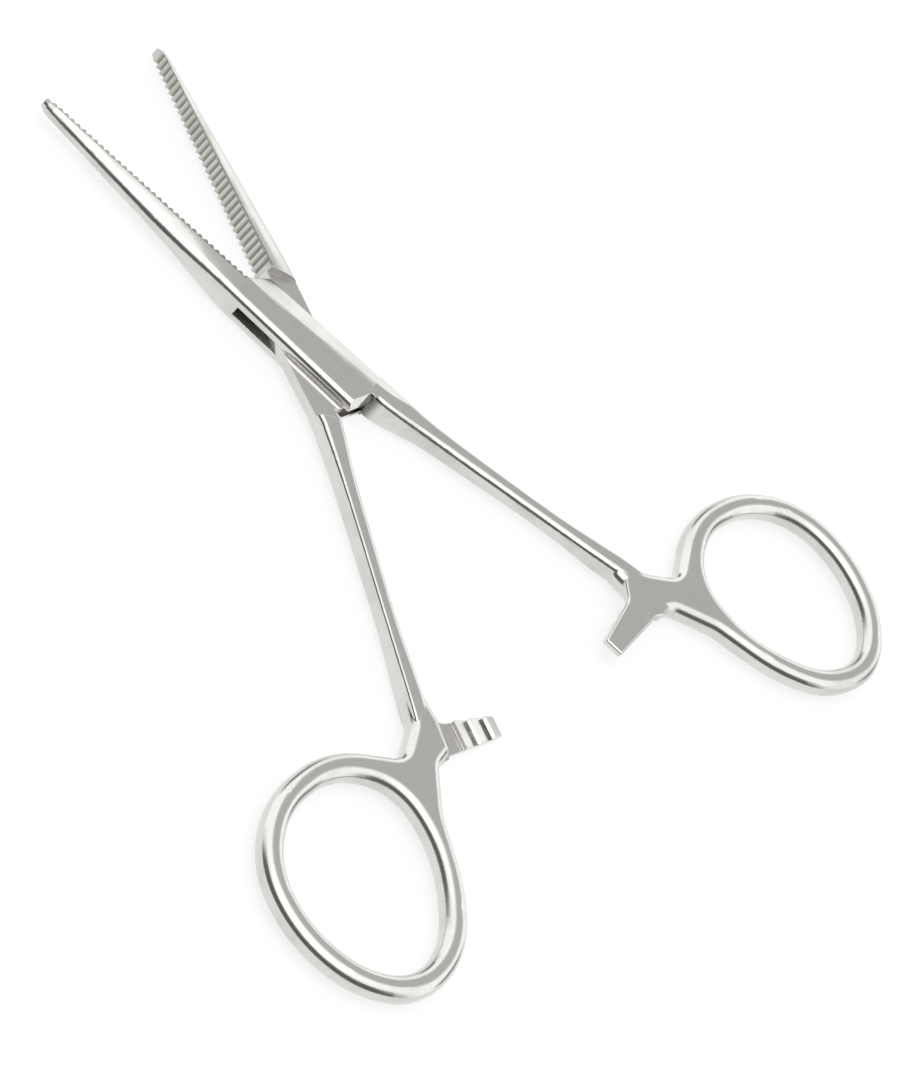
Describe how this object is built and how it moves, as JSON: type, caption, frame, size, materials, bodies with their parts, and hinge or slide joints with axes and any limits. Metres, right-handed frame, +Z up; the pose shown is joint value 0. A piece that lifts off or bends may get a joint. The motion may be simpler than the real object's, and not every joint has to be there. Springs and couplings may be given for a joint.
{
  "type": "needle holder forceps",
  "caption": "Straight ring-handled forceps with long cross-serrated jaws, a box lock and a ratchet, lying open.",
  "frame": {"origin": "on the pivot axis, at the underside of the lock, which is the plane the forceps lie on", "axes": "+Y from the pivot towards the jaws, midway between them; +Z up along the pivot axis"},
  "size_m": [0.1268, 0.1292, 0.0048],
  "materials": {
    "box_half_steel": "satin polished",
    "tongue_half_steel": "satin polished",
    "pin_steel": "satin polished"
  },
  "bodies": {
    "box_side": {"box_half": "box_half_steel", "pivot_pin": "pin_steel"},
    "tongue_side": {"tongue_half": "tongue_half_steel"}
  },
  "joints": [
    {"name": "lock_pivot", "type": "hinge", "parent": "box_side", "child": "tongue_side", "pos_m": [0, 0, 0.0024], "axis": [0, 0, 1], "range_deg": [-22.1, 27.9]}
  ]
}
